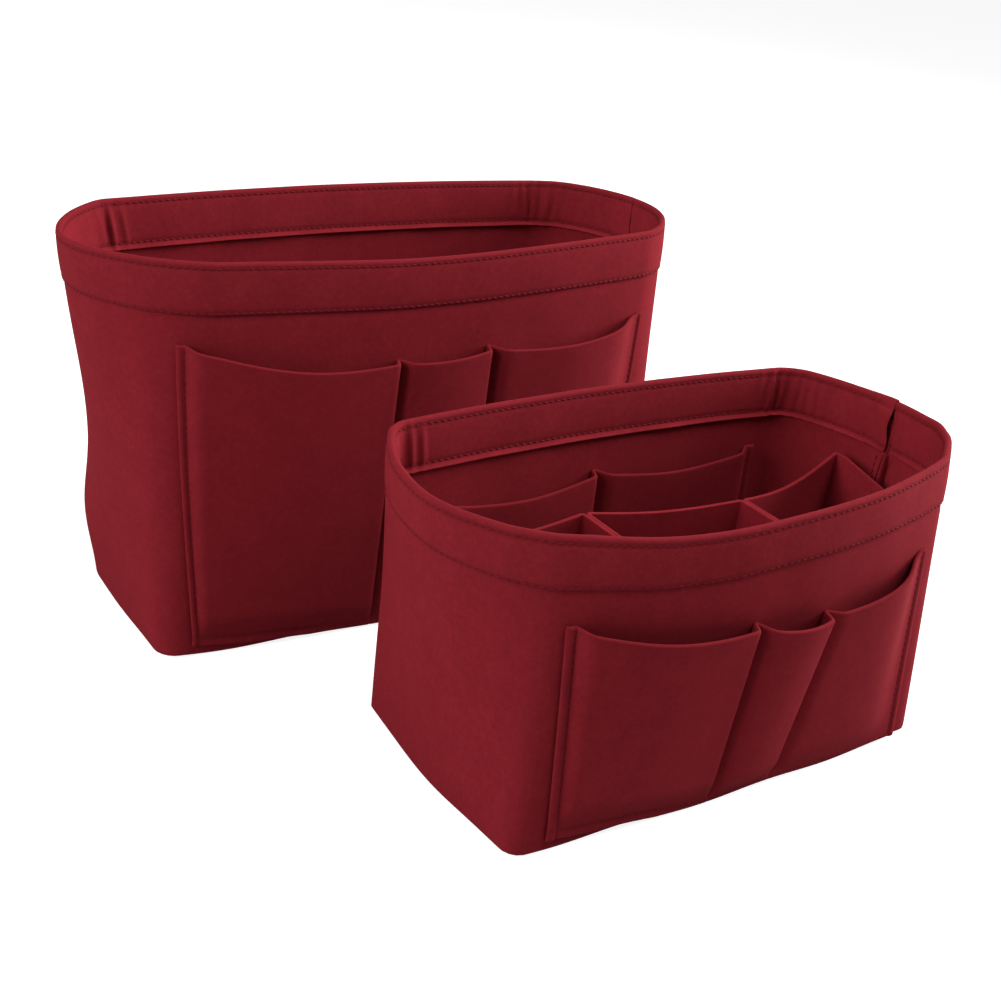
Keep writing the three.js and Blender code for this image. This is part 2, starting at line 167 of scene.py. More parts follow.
def felt(name, deep, mid, pale, flattened_and_shaded):
    """Felt in three close shades: thin places deep, the mat mid, raised fibres pale. Where it is
    pressed, and where shade is painted in, it takes the last, darker colour."""
    material, tree = empty_material(name)
    where = add(tree, "TexCoord").outputs["Object"]
    cloud, pills, tufts = (
        add(tree, "TexNoise", {"Vector": where, "Scale": 1 / wide, "Detail": detail,
                               "Roughness": rough}).outputs["Fac"]
        for wide, detail, rough in ((CLOUD, 2.0, 0.5), (PILLING, 3.0, 0.6), (FIBRE_TUFT, 3.0, 0.7)))
    fine = add(tree, "Mix", {0: PILLING_SHARE, 2: tufts, 3: pills})
    shade = add(tree, "Mix", {0: CLOUD_SHARE, 2: fine.outputs[0], 3: cloud})
    level = add(tree, "MapRange",
                {"Value": shade.outputs[0], "From Min": 0.32, "From Max": 0.68})
    ramp = add(tree, "ValToRGB", {"Fac": level.outputs[0]})
    ramp.color_ramp.elements[0].color = linear(deep)
    ramp.color_ramp.elements[1].color = linear(pale)
    ramp.color_ramp.elements.new(0.5).color = linear(mid)
    # Darker where the felt is pressed and where shade is painted: seam grooves, the binding's crown,
    # pocket mouths.
    pressed = add(tree, "Attribute", attribute_name="pressed").outputs["Fac"]
    colour = add(tree, "Mix", {0: pressed, 6: ramp.outputs[0], 7: linear(flattened_and_shaded)},
                 data_type="RGBA")
    matt_surface(tree, colour, fine.outputs[0], 0.6, FELT_RELIEF,
                 {"Roughness": 0.95, "Sheen Weight": 0.06, "Sheen Roughness": 0.5,
                  "Sheen Tint": linear("#d0404c")})
    return material


wall_felt = felt("needle_punched_felt_3_mm", "#6e1920", "#791c24", "#84212a", "#66161d")
rim_felt = felt("felt_binding_1_mm", "#6e1920", "#7a1d25", "#86232b", "#64161d")
pocket_felt = felt("needle_punched_felt_2_mm", "#6c1820", "#771b23", "#812029", "#64151c")

# %% [markdown]
# ## Sewing thread
#
# The seams are sewn with spun polyester thread of a darker red: two or three plies twisted together,
# matt with a slight shine. At this size the plies are only a fine slanting ripple, which a wave on
# Object coordinates gives, while modelled plies would be too fine to see.

# %% Thread material
PLY = 0.45 * MM
PLY_RELIEF = 0.05 * MM
SCALE_PER_BAND = 0.3


def sewing_thread():
    """Dark red thread: matt, with a ripple as wide as one ply."""
    material, tree = empty_material("spun_polyester_thread")
    where = add(tree, "TexCoord").outputs["Object"]
    plies = add(tree, "TexWave", {"Vector": where, "Scale": SCALE_PER_BAND / PLY, "Distortion": 0.5},
                bands_direction="DIAGONAL")
    colour = add(tree, "Mix",
                 {0: plies.outputs["Fac"], 6: linear("#5e131b"), 7: linear("#701922")},
                 data_type="RGBA")
    matt_surface(tree, colour, plies.outputs["Fac"], 0.3, PLY_RELIEF, {"Roughness": 0.7})
    return material


thread = sewing_thread()

# %% [markdown]
# ## Sizes
#
# Both organizers are one pattern cut in two sizes. Lengths are millimetres to the middle of the felt,
# and places along a wall are measured from its middle, positive to the right as seen from the front.
# Felt keeps the bends it was packed with, so the two don't stand alike. One table would be shorter,
# but each has its own here, read off the photograph:
#
# - `base` and `rim` give the wall's line in plan: its shift to the right, how far it lies inside the
#   nominal rectangle (ends, front, back), its corners' radii (right back, left back, left front,
#   right front) and how far its sides bow out (ends, front, back). The rim's sag and the swellings
#   have a place and a width in quarters of the way round; swellings also have a height, a tallness
#   and how far they stand out.
# - The front pocket has its seams' tops, feet and drops below the binding, the first seam's curve and
#   the margin past the outer ones. Each bay has a bulge, its mouth's sag and the widths of its flanks.
# - The divider has its folds, how far back its line lies at each corner, its drop and its sags.
# - The binding has the depth of its top row of stitches, a slit between its ends, how far one laps
#   over the other, and wrinkles with a place in quarters, a height, a width and a lean.

# %% Sizes
WALL_FELT = 3.0
TRIM_FELT = 0.8
POCKET_FELT = 2.0
GAP = 0.3
BAND_FREE_EDGE = 2.0
LOWER_STITCH_RISE = 0.9
RIM_RADIUS = 1.4
RIM_DROP = 1.7
BINDING_FOOT = 1.85
PUFF = 0.3
PINCH = 0.3
PINCH_WIDTH = 1.1

SMALL = dict(
    name="small", length=237, depth=127, height=150, band=25.0, top_row=5.0,
    base=dict(shift=1, inset=(2, 1.5, 0), corners=(8, 3, 6, 5), bows=(4, 2.5, 1)),
    rim=dict(shift=2.1, inset=(1.1, 11.9, 2.6), corners=(9, 6, 9, 17), bows=(21.3, 27.2, 7.8),
             sag=(2.64, 0.28, 4.0)),
    seams=(-104, -15.5, 28.5, 97.5), feet=(-98, -15.5, 20, 100), curve=0, margin=4,
    drops=(15, 26, 31, 19), bulges=(8.5, 9.5, 7), sags=(1.8, 1.5, 3.5),
    flanks=((4, 2), (3.5, 2), (4, 12)),
    inner_seams=(-97, 0, 97), inner_drops=(18, 19, 18), inner_bulges=(9, 9), inner_sags=(5, 3.8),
    folds=(-37.5, 43.5), divider_line=(17, 17.5, 2, 23.5), divider_drop=10.5,
    divider_sags=(5.5, 2.5, 5.5), slit=1.1, overlap=1.8,
    swellings=((1.75, 0.3, 75, 35, -1.0), (3.85, 0.045, 150, 60, 1.6)),
    wrinkles=((0.10, 0.9, 1.6, 0.0), (0.166, 0.9, 1.5, 0.0), (0.232, 1.2, 1.3, -0.1),
              (0.262, 1.3, 1.2, -0.15), (0.29, 1.4, 1.1, -0.2), (0.314, 1.6, 1.1, -0.25),
              (0.348, 2.1, 1.2, -0.3), (0.386, 2.5, 1.3, -0.3), (0.42, 0.8, 1.8, -0.2),
              (1.565, 0.8, 1.4, -0.1), (1.6, 1.1, 1.3, -0.1), (1.66, 0.6, 2.0, -0.1),
              (2.39, 0.8, 2.4, 0.1), (3.65, 0.8, 2.4, 0.0), (3.945, 0.9, 1.5, 0.06)))
LARGE = dict(
    name="large", length=279, depth=126, height=204, band=26.1, top_row=4.5,
    base=dict(shift=4.2, inset=(-4.2, 4.5, 1), corners=(8, 30, 8, 8), bows=(0.5, 8, 2)),
    rim=dict(shift=2.3, inset=(7.4, 1.8, 9.7), corners=(8, 3, 16, 9), bows=(34.9, 13.1, 9),
             sag=(2.92, 0.33, 1.8)),
    seams=(-135.3, -29.5, 23.5, 127), feet=(-127, -34, 20, 115), curve=-1.6, margin=2.5,
    drops=(14, 26, 24, 20), bulges=(8.5, 9, 11), sags=(6, 1, 4.5),
    flanks=((3, 1.6), (4, 1.6), (4, 14)),
    inner_seams=(-114, 0, 114), inner_drops=(20, 21, 20), inner_bulges=(9, 9), inner_sags=(6, 5),
    folds=(-46, 52), divider_line=(12, 13, 2, 15), divider_drop=16,
    divider_sags=(6, 3, 6), slit=0.12, overlap=0.3,
    swellings=((1.7, 0.22, 42, 28, 5.0), (1.75, 0.35, 115, 38, -2.5)),
    wrinkles=((0.12, 0.5, 1.6, 0.0), (0.208, 0.6, 1.4, -0.1), (0.24, 1.0, 1.2, -0.2),
              (0.263, 2.2, 1.3, -0.25), (0.29, 1.8, 1.2, -0.2), (0.322, 1.4, 1.1, -0.1),
              (0.36, 0.6, 2.0, -0.2), (1.64, 0.6, 1.4, 0.0), (1.678, 1.5, 1.3, 0.0),
              (1.71, 0.7, 1.4, 0.0), (2.33, 0.8, 2.6, 0.0), (3.68, 0.8, 2.4, 0.0),
              (3.93, 0.6, 1.6, 0.0)))


def share(values):
    """Values kept between 0 and 1."""
    return np.clip(values, 0, 1)


def bump_line(distance, width):
    """A smooth bump: e to the minus square of distance over width."""
    return np.exp(-(distance / width) ** 2)


def band_edge(size):
    """Height along the felt of the binding's sewn lower edge."""
    return size["height"] - size["band"]


def fold_height(size):
    """Height along the felt of the centre of the half round that the binding makes at the rim."""
    return size["height"] - RIM_DROP - RIM_RADIUS - TRIM_FELT / 2


def binding_base(size, h):
    """From the middle of the wall to the middle of the binding: tapers from its foot to the rim."""
    t = share((h - band_edge(size)) / (fold_height(size) - band_edge(size)))
    return BINDING_FOOT + (RIM_RADIUS - BINDING_FOOT) * t


def stitch_rows(size, h):
    """1 on either row of stitches of the binding and 0 a few millimetres away from them."""
    lower = band_edge(size) + LOWER_STITCH_RISE
    upper = size["height"] - size["top_row"]
    return bump_line(h - lower, PINCH_WIDTH) + bump_line(h - upper, PINCH_WIDTH)


def binding_offset(size, h):
    """The base with a puff of half a sine between the rows, pulled in at each row."""
    lower = band_edge(size) + LOWER_STITCH_RISE
    between = share((h - lower) / (size["height"] - size["top_row"] - lower))
    return binding_base(size, h) + PUFF * np.sin(np.pi * between) - PINCH * stitch_rows(size, h)


# %% [markdown]
# ## The wall surface
#
# The wall stands on a rounded rectangle and swells to a rounder, wider ring at the rim. Straight lines
# between the two outlines give a ruled surface, which is what bent felt makes, since it can't stretch.
# On it lie slow waves and a few swellings, and its foot touches the ground only here and there. Every
# other piece is placed on it by three measures: u round the band (0 at the middle of the right end,
# then back, left and front, one unit each quarter), h up along the felt, and n out from the middle of
# the wall. Booleans or a draped cloth would look alike from afar but lose these measures, which the
# seams need.

# %% Wall surface
WAVES = ((7, 3, 0), (11, -5, 1), (16, 4, 2))
WAVE_HEIGHT = 0.35
WAVE_FADE = 1.2
FOOT_WAVES = 9
FOOT_START = 1.6
FOOT_LIFT = 0.7
FOOT_HEIGHT = 14.0
NEAR_U = 0.004
TINY = 1e-9


def unit(vectors):
    """Vectors divided by their lengths."""
    return vectors / np.maximum(np.linalg.norm(vectors, axis=-1, keepdims=True), TINY)


def bowed(x, y, half_length, half_depth, end_bow, long_bow):
    """Bows the sides of a rectangle out: each by its bow times one minus the square of the place
    along it, and less towards the middle, with the cube of the distance."""
    out_x = x + end_bow * (1 - (y / half_depth) ** 2) * (x / half_length) ** 3
    out_y = y + long_bow * (1 - (x / half_length) ** 2) * (y / half_depth) ** 3
    return np.stack([out_x, out_y], -1)


def quarter_point(half_length, half_depth, radius, end_bow, long_bow, f):
    """A quarter of a bowed, rounded rectangle, from the end's middle (f = 0) to the long side's."""
    end = half_depth - radius
    corner = math.pi / 2 * radius
    long = half_length - radius
    s = f * (end + corner + long)
    angle = np.clip((s - end) / radius, 0, math.pi / 2)
    x = np.where(s <= end + corner, long + radius * np.cos(angle), long - (s - end - corner))
    y = np.where(s <= end, s, end + radius * np.sin(angle))
    return bowed(x, y, half_length, half_depth, end_bow, long_bow)


def round_the_band(u, quarter):
    """Mirrors quarters round the four sides; quarter(f, k) is the k-th one as if it were the first."""
    turn = np.mod(u, 4)
    q = np.floor(turn).astype(int)
    f = np.where(q % 2 == 0, turn - q, 1 - (turn - q))
    point = np.select([(q == k)[..., None] for k in range(4)], [quarter(f, k) for k in range(4)])
    flip = np.stack([np.where((q == 1) | (q == 2), -1, 1), np.where(q > 1, -1, 1)], -1)
    return point * flip


def outline(size, level, u):
    """The line of the wall in plan at its "base" or its "rim"; its corners count like u."""
    shape = size[level]
    inset_x, inset_front, inset_back = shape["inset"]
    end_bow, front_bow, back_bow = shape["bows"]
    ring = round_the_band(u, lambda f, k: quarter_point(
        size["length"] / 2 - inset_x, size["depth"] / 2 - (inset_front if k > 1 else inset_back),
        shape["corners"][k], end_bow, front_bow if k > 1 else back_bow, f))
    return ring + np.array([shape["shift"], 0.0])


def mid_wall(size, u, h):
    """The ruled surface: the outlines mixed by t = h / height, and z = t sqrt(height^2 - lean^2). The
    front of the rim also sags a little left of its middle."""
    u, h = np.broadcast_arrays(np.asarray(u, float), np.asarray(h, float))
    base = outline(size, "base", u)
    rim = outline(size, "rim", u)
    t = h / size["height"]
    lean = np.linalg.norm(rim - base, axis=-1)
    plan = base + (rim - base) * t[..., None]
    sag_at, sag_width, depth = size["rim"]["sag"]
    sag = depth * bump_line(np.mod(u, 4) - sag_at, sag_width)
    z = t * (np.sqrt(size["height"] ** 2 - lean ** 2) - sag)
    return np.concatenate([plan, z[..., None]], -1)


def ripple(size, u, h):
    """Slow waves of the standing felt: a sum of sines, each with its count round the band, its twist
    up the wall and its start, that is nothing at the foot; and smooth swellings, or dents below 0."""
    t = share(h / size["height"])
    turn = np.pi / 2 * u
    waves = sum(np.sin(count * turn + twist * t + start) for count, twist, start in WAVES)
    swelling = sum(out * bump_line(np.mod(u, 4) - at, wide) * bump_line(h - up, tall)
                   for at, wide, up, tall, out in size["swellings"])
    return WAVE_HEIGHT * t * (WAVE_FADE - t) * waves + swelling


def foot_lift(u, h):
    """Where the foot doesn't touch the ground: a sine round the band that fades with height."""
    waves = np.sin(FOOT_WAVES * np.pi / 2 * u + FOOT_START)
    return FOOT_LIFT * (1 + waves) * np.exp(-h / FOOT_HEIGHT)


def wall(size, u, h, n):
    """The point n outside the middle of the wall felt, along the wall's direction in plan."""
    u, h, n = np.broadcast_arrays(*(np.asarray(v, float) for v in (u, h, n)))
    ahead = mid_wall(size, u + NEAR_U, h)
    behind = mid_wall(size, u - NEAR_U, h)
    out = unit(np.stack([ahead[..., 1] - behind[..., 1], behind[..., 0] - ahead[..., 0]], -1))
    point = mid_wall(size, u, h)
    point[..., :2] += (n + ripple(size, u, h))[..., None] * out
    point[..., 2] += foot_lift(u, h)
    return point


def quarter_length(size):
    """The length of one quarter of the foot of the wall."""
    inset_x, inset_front, _ = size["base"]["inset"]
    straight = (size["length"] + size["depth"]) / 2 - inset_x - inset_front
    return straight - (2 - math.pi / 2) * size["base"]["corners"][2]


FRONT, BACK = (3, 1), (1, -1)


def place_u(size, side, s):
    """Turns a place along the front or back wall into u: its middle's, and the way that u runs."""
    middle, way = side
    return middle + way * np.asarray(s, float) / quarter_length(size)


for size in (SMALL, LARGE):
    print(size["name"], "felt round the foot:", round(4 * quarter_length(size)), "mm")

# %% [markdown]
# ## A sheet of felt
#
# A sheet is a grid of points in its middle and a thickness. Its faces lie half the thickness to either
# side, and near a cut edge they close in a half round, because scissors leave felt with soft edges.
# Solidify with a bevel could do the same, but here the thickness may change from place to place, as
# felt does under a seam.

# %% Sheet helpers
EDGE_STEPS = (0, 0.04, 0.15, 0.35, 0.65, 1)
LOOK = "_look"


def spread(length, step, edge):
    """Places from 0 to length: close together within one edge width of both ends, then even."""
    near = [edge * e for e in EDGE_STEPS]
    count = max(2, round((length - 2 * edge) / step) + 1)
    middle = np.linspace(edge, length - edge, count)
    return np.concatenate([near[:-1], middle, [length - e for e in near[-2::-1]]])


def run_along(line):
    """How far along a line each of its points lies."""
    return np.concatenate([[0], np.cumsum(np.linalg.norm(np.diff(line, axis=0), axis=-1))])


def half_round(distance, radius):
    """How much of its thickness felt has at a distance from its cut edge: a quarter circle."""
    reach = share(distance / radius)
    return np.sqrt(share(1 - (1 - reach) ** 2))


def round_ends(places, radius):
    """The same for places along a piece that is cut at both its ends."""
    return half_round(np.minimum(places, places[-1] - places), radius)


def directions(grid):
    """Unit normals of a grid of points: the cross product of its two gradients."""
    return unit(np.cross(np.gradient(grid, axis=0), np.gradient(grid, axis=1)))


def mesh_piece(name, points, faces, material, shift, pressed=None):
    """Makes an object from points in millimetres, faces as index rows, and its place in metres."""
    mesh = bpy.data.meshes.new(name)
    mesh.from_pydata(np.asarray(points * MM + shift).tolist(), [], faces)
    mesh.polygons.foreach_set("use_smooth", np.ones(len(mesh.polygons), bool))
    if pressed is not None:
        mesh.attributes.new("pressed", "FLOAT", "POINT").data.foreach_set("value", pressed)
    mesh.materials.append(material)
    mesh.update()
    return new_object(name, mesh)


def felt_sheet(name, middle, half, material, shift, pressed):
    """A watertight sheet about a grid (stations, rows) of middle points. half is the half thickness
    at each of them, zero along the cut edges, where both faces share their points."""
    stations, rows = middle.shape[:2]
    normal = directions(middle)
    faces_out = middle + normal * half[..., None]
    faces_in = middle - normal * half[..., None]
    outer = np.arange(stations * rows).reshape(stations, rows)
    inner = outer + stations * rows
    for cut in (0, -1):
        inner[:, cut] = outer[:, cut]
        inner[cut] = outer[cut]

    def quads(index):
        return np.stack([index[:-1, :-1], index[1:, :-1], index[1:, 1:], index[:-1, 1:]], -1)

    faces = np.concatenate([quads(outer).reshape(-1, 4), quads(inner).reshape(-1, 4)[:, ::-1]])
    points = np.concatenate([faces_out.reshape(-1, 3), faces_in.reshape(-1, 3)])
    used, renumbered = np.unique(faces, return_inverse=True)
    # Darkening of the colour at each point: pressed felt and painted shade.
    painted_darkening = np.zeros(stations * rows) if pressed is None else pressed.reshape(-1)
    return mesh_piece(name + LOOK, points[used], renumbered.reshape(-1, 4).tolist(), material, shift,
                      np.concatenate([painted_darkening, painted_darkening])[used])


# %% [markdown]
# ## Joining pieces to the frame
#
# A finished piece takes the place of its CAD node and moves with its organizer. Each piece of felt
# also prints the size it was cut to and how it is held.

# %% Joining pieces to the frame
FELTS = dict(wall_felt=wall_felt, rim_felt=rim_felt, pocket_felt=pocket_felt)


def join_to_frame(piece, size):
    """Each piece has its node's name with an ending, and rides on its organizer's body."""
    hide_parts(piece.name.removesuffix(LOOK))
    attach(piece, f"{size['name']}_organizer")


def felt_piece(size, name, slot, shift, middle, half, cut, held, pressed=None):
    piece = felt_sheet(f"{size['name']}_{name}", middle, half, FELTS[slot], shift, pressed)
    join_to_frame(piece, size)
    print(piece.name, "cut", round(cut[0]), "x", round(cut[1]), "mm", held)


# %% [markdown]
# ## The wall band
#
# One strip of 3 mm felt goes all the way round. Its ends meet at the middle of the right end wall, are
# turned inwards and are sewn together there. So its line in plan starts at a cut edge, runs out along
# the turned end, round a tight bend and once round the organizer, and back in along the other. The
# turned ends stop below the binding, so that it lies flat. A box with its walls cut out would be
# quicker, but would have no strip to turn in.

# %% Wall band
SEAM_ALLOWANCE = 7.0
TURNED = WALL_FELT / 2 + SEAM_ALLOWANCE
SEAM_SIDE = GAP / 2 + WALL_FELT / 2
ABOVE_PANEL = 1.3
FLOOR_FELT_TOP = WALL_FELT + ABOVE_PANEL
INTO_FOLD = 0.5
THINNING = 4.0
BEND = 1.2
BEND_STATIONS = 6
TURNED_STEP = 1.2
TRIM_SLOPE = 1.5
WALL_STEP = 2.6
WALL_ROW = 3.2
FINE_START = 0.5
MEASURED_ROW = 20


def wall_half(size, rows):
    """Half the wall's thickness: the felt's own, and under the binding what its stitches leave."""
    covered = binding_base(size, rows) - PINCH - TRIM_FELT / 2
    under = share((rows - band_edge(size) + THINNING) / THINNING)
    return WALL_FELT / 2 * (1 - under) + covered * under


def turned_end(size, side, rows, thick):
    """One turned end from its cut edge to the wall, a straight run and then a quarter round. Where
    the felt is thinner, it lies nearer to the seam. side is 1 behind the seam and -1 in front."""
    depth = spread(TURNED - BEND, TURNED_STEP, WALL_FELT / 2)[::-1] + BEND
    depth = depth[depth > BEND + TINY]
    angle = np.linspace(0, np.pi / 2, BEND_STATIONS)[:-1]
    inwards = np.concatenate([depth, BEND * (1 - np.sin(angle))])
    sideways = np.concatenate([np.full(len(depth), SEAM_SIDE), SEAM_SIDE + BEND * (1 - np.cos(angle))])
    at_seam = np.concatenate([np.ones(len(depth)), np.cos(angle)])
    beside = sideways[:, None] - at_seam[:, None] * (WALL_FELT / 2 - thick)
    end = wall(size, side * beside / quarter_length(size), rows, 0)
    end[..., 0] -= inwards[:, None]
    trimmed = share((inwards - WALL_FELT / 2) / TRIM_SLOPE)[:, None]
    low, high, rise = FLOOR_FELT_TOP, band_edge(size) - BAND_FREE_EDGE - GAP, rows[-1]
    cut = low + (high - low) * rows / rise
    upright = mid_wall(size, 0.0, rise)[2] / rise
    end[..., 2] = end[..., 2] * (1 - trimmed) + cut * upright * trimmed
    return end


def wall_band(size, shift):
    """Stations run from one cut edge, over its turned end, round the organizer and back."""
    around = 4 * quarter_length(size)
    rise = fold_height(size) + INTO_FOLD
    rows = spread(rise, WALL_ROW, WALL_FELT / 2)
    thick = wall_half(size, rows)
    first = SEAM_SIDE + BEND
    along = spread(around - 2 * first, WALL_STEP, FINE_START) + first
    body = wall(size, (along / quarter_length(size))[:, None], rows, 0)
    middle = np.concatenate([turned_end(size, 1, rows, thick), body,
                             turned_end(size, -1, rows, thick)[::-1]])
    distance = run_along(middle[:, MEASURED_ROW])
    half = thick * round_ends(rows, WALL_FELT / 2) * round_ends(distance, WALL_FELT / 2)[:, None]
    felt_piece(size, "wall_band", "wall_felt", shift, middle, half,
               (around + 2 * TURNED, rise), "folded")


# %% [markdown]
# ## The bottom panel
#
# A rectangle of the same felt with small round corners fills the foot of the wall band. A grid
# covers it if each row's width follows the corner's arc, so no pole or fan of triangles is needed.

# %% Bottom panel
PANEL_PRESSED = 0.5
PANEL_STEP = 5.0
PANEL_ROW = 1.6


def bottom_panel(size, shift):
    """Rows run across the depth; a row's half width shrinks by r - sqrt(r^2 - d^2) in a corner."""
    clear = WALL_FELT / 2 - PANEL_PRESSED
    base = size["base"]
    inset_x, inset_front, inset_back = base["inset"]
    half_length = size["length"] / 2 - inset_x - clear
    front, back = (size["depth"] / 2 - inset - clear for inset in (inset_front, inset_back))
    across = spread(front + back, PANEL_ROW, WALL_FELT / 2) - front

    def sides(at_front, at_back):
        return np.where(across < 0, at_front, at_back)

    half_depth = sides(front, back)
    right_back, left_back, left_front, right_front = np.array(base["corners"]) - clear
    to_right = (spread(2 * half_length, PANEL_STEP, WALL_FELT / 2) / half_length - 1)[:, None]
    radius = np.where(to_right < 0, sides(left_front, left_back), sides(right_front, right_back))
    into_corner = np.clip(np.abs(across) - (half_depth - radius), 0, radius)
    reach = half_length - radius + np.sqrt(radius ** 2 - into_corner ** 2)
    x = to_right * reach
    y = np.broadcast_to(across, x.shape)
    end_bow, front_bow, back_bow = base["bows"]
    plan = bowed(x, y, half_length, half_depth, end_bow, sides(front_bow, back_bow))
    middle = np.concatenate([plan, np.full((*x.shape, 1), WALL_FELT / 2)], -1)
    middle[..., 0] += base["shift"]
    to_side = half_depth - np.abs(y)
    to_end = reach - np.abs(x)
    half = WALL_FELT / 2 * half_round(to_side, WALL_FELT / 2) * half_round(to_end, WALL_FELT / 2)
    felt_piece(size, "bottom_panel", "wall_felt", shift, middle, half,
               (2 * half_length, front + back), "laid")


# %% [markdown]
# ## The binding of the rim
#
# A strip of thinner felt is folded over the top edge and sewn through with two rows of stitches, which
# pull it in while it puffs up between them. Its inside leg is longer and hangs free below the lower
# row. At the corners it has less room than the outside one, so it is gathered in upright wrinkles.
# Its two ends meet over the seam of the wall, a little slanted: one laps over the other, and a ragged
# slit gapes between them inside. A cloth simulation would wrinkle too, but not at these places.

# %% Binding of the rim
BINDING_STEP = 1.2
BINDING_ROW = 1.0
WRINKLE_ENDS = (1.0, 2.0)
HELD_POWER = 0.7
SLIT_RIDGES = ((3.0, 2.5), (4.5, 1.3))
SLIT_RIDGE_RISE = 1.2
LAP_WIDTH = 9.0
LAP_EDGE = 1.6
LAP_TAPER = 4.0
EDGE_WAVES = ((0.4, 9.0, 0), (0.3, 5.3, 2))
EDGE_WAVE_OUT, EDGE_WAVE_UP = 0.6, 0.3
EDGE_FLARE = 1.6
FLARE_FROM, FLARE_OVER, FLARE_POWER = 4.0, 14.0, 1.4


def gathers(size, along, down, leg, inside):
    """How far the inside leg stands off: in a ridge on either side of the slit, and in wrinkles. Both
    fade out towards the fold and the free edge, like a power of half a sine."""
    around = 4 * quarter_length(size)
    start, end = WRINKLE_ENDS
    held = np.sin(np.pi * share((down + start) / (leg + start + end))) ** HELD_POWER * inside
    (after, after_width), (before, before_width) = SLIT_RIDGES
    ridges = bump_line(along - after, after_width) + bump_line(around - along - before, before_width)
    total = (SLIT_RIDGE_RISE * size["slit"] * ridges)[:, None] * held
    middle = (leg - BAND_FREE_EDGE) / 2
    for at, rise, width, lean in size["wrinkles"]:
        place = along[:, None] - at * quarter_length(size) + lean * (down - middle)
        total += rise * bump_line(place, width) * held
    return total


def lap_and_flare(size, along, down, free):
    """How far the inside leg lies in front of that: the lap of one end over the other, and the free
    edge, which flares out except near the slit, in small waves."""
    to_slit = np.minimum(along, 4 * quarter_length(size) - along)
    lap = size["overlap"] / (1 + np.exp((along - LAP_WIDTH) / LAP_EDGE))
    lap = lap[:, None] * share(down / LAP_TAPER)
    flare = EDGE_FLARE * share((to_slit - FLARE_FROM) / FLARE_OVER)
    flare = flare[:, None] * (free ** FLARE_POWER)
    waves = sum(height * np.sin(along / length + start) for height, length, start in EDGE_WAVES)
    return lap + flare, waves[:, None] * free


# %% [markdown]
# The slit follows the slant of the two ends. It opens below the rim and has a ragged edge, and the
# felt on both sides of it is pushed up a little at the rim.

# %% Slit and binding
SLIT_SLANT = 5.5
SLIT_TOP = 3.0
SLIT_FADE = 6.0
SLIT_ASIDE = 6.0
RAGGED, RAGGED_LENGTH = 0.35, 2.1
PUSHED_UP, PUSHED_WIDTH = 0.8, 14.0
# How much darker the binding is drawn: along the stitch rows, as pressed felt and painted shade in
# their groove, and over the crown, as painted shade against the light on its top.
ROW_PRESS_SHADE, CROWN_SHADE = 0.8, 0.55


def slit_shift(size, along, h):
    """How far the felt is moved along the wall: slanted with height, and aside from the slit, which
    opens like 3 t^2 - 2 t^3 over a distance below the rim and closes with e^-distance."""
    around = 4 * quarter_length(size)
    slant = SLIT_SLANT * share((h - band_edge(size)) / size["band"])
    below = share((fold_height(size) - h - SLIT_TOP) / SLIT_FADE)
    ragged = RAGGED * np.sin(h / RAGGED_LENGTH) * below
    opening = size["slit"] * (below * below * (3 - 2 * below) + ragged)
    side = np.where(along < around / 2, 1, -1)[:, None]
    aside = np.exp(-np.minimum(along, around - along) / SLIT_ASIDE)[:, None]
    return slant + side * opening * aside


def binding(size, shift):
    """v runs up the outside leg, over a half circle and down the inside leg; n and h follow it."""
    outside = fold_height(size) - band_edge(size)
    crown = math.pi * RIM_RADIUS
    total = outside + crown + outside + BAND_FREE_EDGE
    v = spread(total, BINDING_ROW, TRIM_FELT / 2)
    angle = np.clip((v - outside) / RIM_RADIUS, 0, math.pi)
    down = np.clip(v - outside - crown, 0, None)
    h = band_edge(size) + np.minimum(v, outside) - down + RIM_RADIUS * np.sin(angle)
    n = binding_offset(size, np.minimum(h, fold_height(size))) * np.cos(angle)
    free = share((down - outside) / BAND_FREE_EDGE)

    around = 4 * quarter_length(size)
    along = spread(around, BINDING_STEP, TRIM_FELT / 2)
    in_front, waves = lap_and_flare(size, along, down, free)
    off = gathers(size, along, down, outside + BAND_FREE_EDGE, np.cos(angle) < 0) + in_front
    pushed = PUSHED_UP * size["slit"] * bump_line(along, PUSHED_WIDTH)
    lift = h + EDGE_WAVE_UP * waves + pushed[:, None] * np.sin(angle)
    u = (along[:, None] + slit_shift(size, along, h)) / quarter_length(size)
    middle = wall(size, u, lift, n - off - EDGE_WAVE_OUT * waves)

    thick = TRIM_FELT / 2
    half = thick * round_ends(v, thick) * round_ends(along, thick)[:, None]
    # Painted shade: darker along the stitch rows, partly pressed felt, and over the crown.
    rows = ROW_PRESS_SHADE * stitch_rows(size, h) * np.abs(np.cos(angle))
    flat = np.maximum(rows, CROWN_SHADE * np.sin(angle))
    pressed = np.broadcast_to(flat, half.shape)
    felt_piece(size, "rim_band", "rim_felt", shift, middle, half, (around, total), "folded",
               pressed)


# %% [markdown]
# ## The pocket panels
#
# A pocket panel is a wider strip than the wall behind it, sewn down along its bottom, its two ends
# and the seams between its bays, so each bay stands off the wall and its mouth hangs down between the
# seams. Along the panel p counts bays, so a whole number is a seam; the seams slant, so a place along
# the wall is mixed from the seam's foot and its top. The foot of an outer panel has sunk to the
# ground across its first bay. The panel inside is the same with upright seams. A cloth simulation
# would give such bays too, but not with these mouths.

# %% Pocket panels
POCKET_PRESSED = 0.1
POCKET_BOTTOM = 6.0
POCKET_STITCH_RISE = 5.0
FOOT_FALL = 8.5
INNER_POCKET_BOTTOM = 12.0
INNER_MARGIN = 4
INNER_FLANKS = ((6, 1.8), (4, 5))
CROWN_SHARE = 0.35
FOOT_ROUND = 14.0
FOOT_POWER = 1.5
FOOT_SHARE = 0.45


